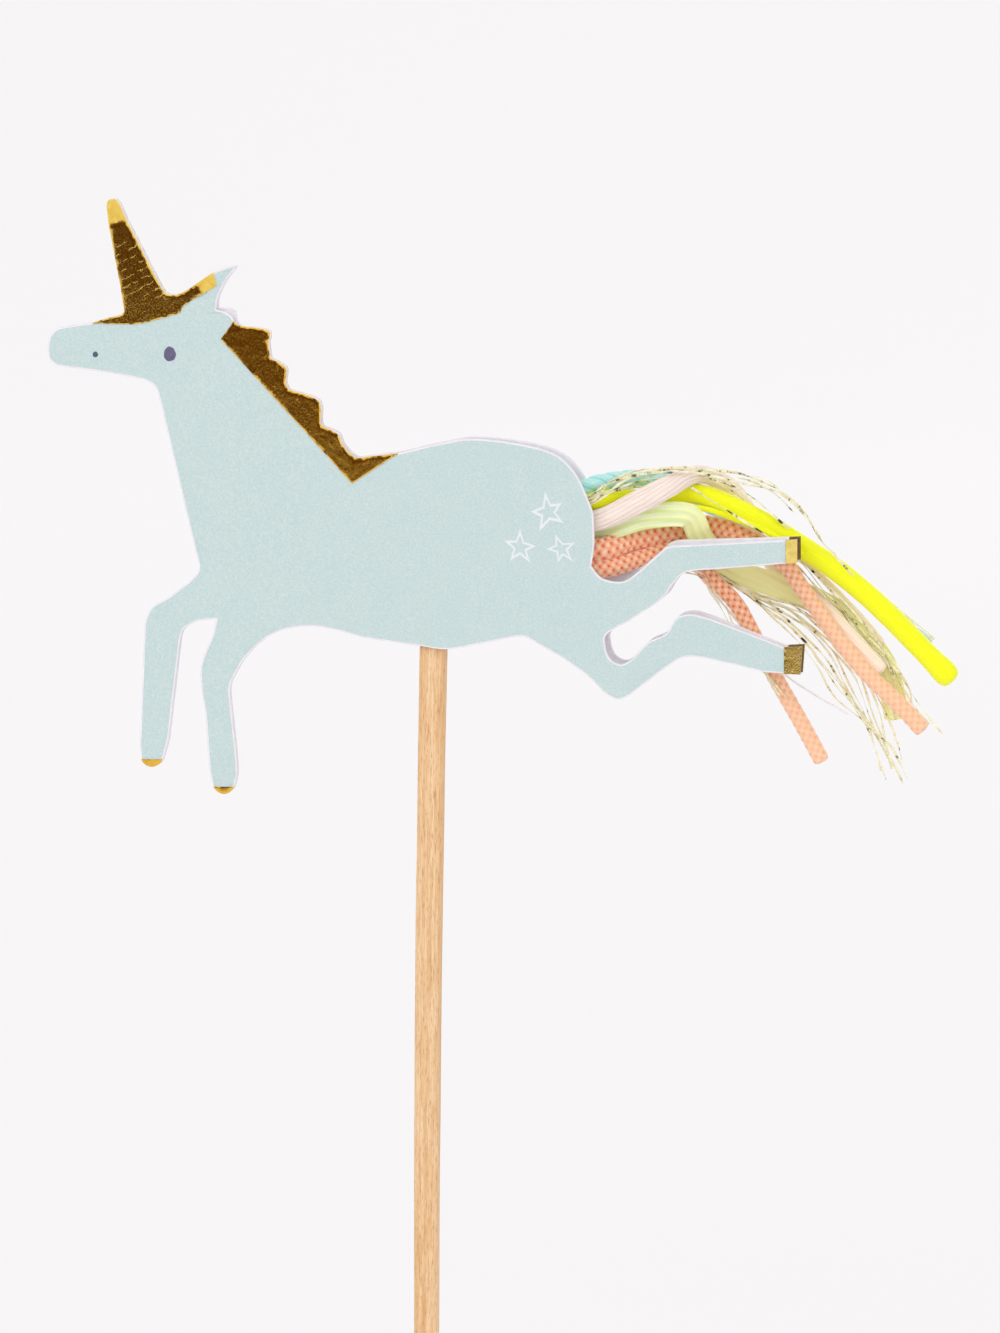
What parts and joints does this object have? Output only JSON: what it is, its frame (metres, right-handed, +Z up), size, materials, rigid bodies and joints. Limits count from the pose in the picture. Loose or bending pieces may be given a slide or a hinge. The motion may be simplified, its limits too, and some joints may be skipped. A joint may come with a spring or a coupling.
{
  "type": "cupcake topper",
  "caption": "Cupcake topper: a die-cut card unicorn with gold foil and a tail of cords, ribbon and tinsel on a flat wooden stick.",
  "frame": {"origin": "middle of the stick's flat lower end", "axes": "+Z up along the stick, the unicorn faces -X, its front card faces -Y"},
  "size_m": [0.0905, 0.0127, 0.119],
  "materials": {
    "wood": "bare, fine straight grain",
    "card": "matte printed card with a white cut edge",
    "gold_foil": "mirror-like hot foil with fine creases",
    "tape": "satin",
    "glue": "glossy, clear yellowish",
    "strand_ends": "matte yarn ends",
    "thread": "matte thread",
    "turquoise_yarn": "soft twisted yarn",
    "yellow_cord": "fluorescent satin cord",
    "pink_floss": "soft floss with a slight sheen",
    "green_ribbon": "satin ribbon",
    "coral_cord": "knitted cord",
    "tinsel": "shiny metallic film"
  },
  "bodies": {
    "body": {"stick": "wood", "front_card": "card", "back_card": "card", "horn_foil_front": "gold_foil", "horn_foil_back": "gold_foil", "mane_foil_front": "gold_foil", "mane_foil_back": "gold_foil", "fore_hoof_foil_left_front": "gold_foil", "fore_hoof_foil_left_back": "gold_foil", "fore_hoof_foil_right_front": "gold_foil", "fore_hoof_foil_right_back": "gold_foil", "hind_hoof_foil_upper_front": "gold_foil", "hind_hoof_foil_upper_back": "gold_foil", "hind_hoof_foil_lower_front": "gold_foil", "hind_hoof_foil_lower_back": "gold_foil", "head_tape": "tape", "neck_tape": "tape", "foreleg_tape_left": "tape", "foreleg_tape_right": "tape", "stick_glue_front": "glue", "stick_glue_back": "glue", "tassel_root": "strand_ends", "binding_thread": "thread", "tassel_glue_front": "glue", "tassel_glue_back": "glue"},
    "tail": {"turquoise_yarn": "turquoise_yarn", "yellow_cord": "yellow_cord", "pink_floss": "pink_floss", "green_ribbon": "green_ribbon", "coral_cord_upper": "coral_cord", "coral_cord_lower": "coral_cord", "tinsel_arc": "tinsel", "tinsel_fan": "tinsel"}
  },
  "joints": [
    {"name": "tail_swing", "type": "hinge", "parent": "body", "child": "tail", "pos_m": [0.017, 0.001, 0.087], "axis": [0, 0, 1], "range_deg": [0, 35], "stiffness_Nm_per_rad": 0.0002}
  ]
}
